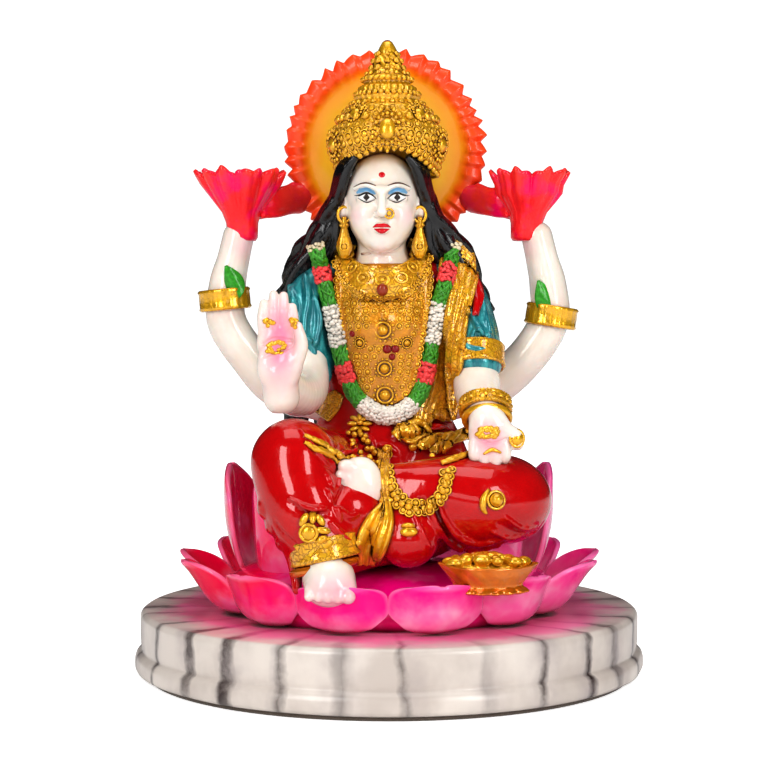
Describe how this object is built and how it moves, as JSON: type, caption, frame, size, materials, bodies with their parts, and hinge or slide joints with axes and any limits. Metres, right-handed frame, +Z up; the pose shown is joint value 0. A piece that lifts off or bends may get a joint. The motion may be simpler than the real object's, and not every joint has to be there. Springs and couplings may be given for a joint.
{
  "type": "hindu deity statue",
  "caption": "Painted resin figurine: a seated four-armed goddess with halo and crown on a double-ring lotus and a round marbled plinth.",
  "frame": {"origin": "centre of the underside, where the figurine rests", "axes": "+Z up; the figure faces -Y, so her right hand is at -X and her left at +X"},
  "size_m": [0.1528, 0.1528, 0.1896],
  "materials": {
    "marbled_resin": "ivory resin with painted grey-brown veins, satin",
    "felt": "dark felt sheet",
    "petal_pink": "magenta airbrush on resin, paler at the base, gloss",
    "ivory_resin": "gloss ivory resin with pink blush",
    "gold_paint": "gold paint with darker hollows, half gloss",
    "red_paint": "crimson paint under clear lacquer",
    "teal_paint": "metallic teal paint, brushed on",
    "halo_orange": "yellow-orange paint fading to red at the rim",
    "flower_red": "coral red and magenta paint, gloss",
    "hair_black": "black gloss paint",
    "garland_paint": "white, green and coral paint in bands"
  },
  "bodies": {
    "root": {"anklet": "gold_paint", "bangle": "gold_paint", "base_pad": "felt", "belt": "gold_paint", "breastplate": "gold_paint", "coins": "gold_paint", "collar": "gold_paint", "crown": "gold_paint", "festoon": "gold_paint", "garland": "garland_paint", "hair": "hair_black", "halo": "halo_orange", "head": "ivory_resin", "inner_petal_01": "petal_pink", "inner_petal_02": "petal_pink", "inner_petal_03": "petal_pink", "inner_petal_04": "petal_pink", "inner_petal_05": "petal_pink", "inner_petal_06": "petal_pink", "inner_petal_07": "petal_pink", "lap": "red_paint", "left_armlet": "gold_paint", "left_earring": "gold_paint", "left_foot": "ivory_resin", "left_forearm": "ivory_resin", "left_hand": "ivory_resin", "left_held_lotus": "flower_red", "left_leg": "red_paint", "left_rear_arm": "ivory_resin", "left_rear_forearm": "ivory_resin", "left_sleeve": "teal_paint", "lotus_seat": "petal_pink", "offering_bowl": "gold_paint", "outer_petal_01": "petal_pink", "outer_petal_02": "petal_pink", "outer_petal_03": "petal_pink", "outer_petal_04": "petal_pink", "outer_petal_05": "petal_pink", "outer_petal_06": "petal_pink", "outer_petal_07": "petal_pink", "outer_petal_08": "petal_pink", "outer_petal_09": "petal_pink", "outer_petal_10": "petal_pink", "outer_petal_11": "petal_pink", "outer_petal_12": "petal_pink", "outer_petal_13": "petal_pink", "plinth": "marbled_resin", "right_armlet": "gold_paint", "right_earring": "gold_paint", "right_foot": "ivory_resin", "right_forearm": "ivory_resin", "right_hand": "ivory_resin", "right_held_lotus": "flower_red", "right_leg": "red_paint", "right_rear_arm": "ivory_resin", "right_rear_forearm": "ivory_resin", "right_sleeve": "teal_paint", "sari_drape": "gold_paint", "sash": "gold_paint", "torso": "red_paint"}
  },
  "joints": []
}
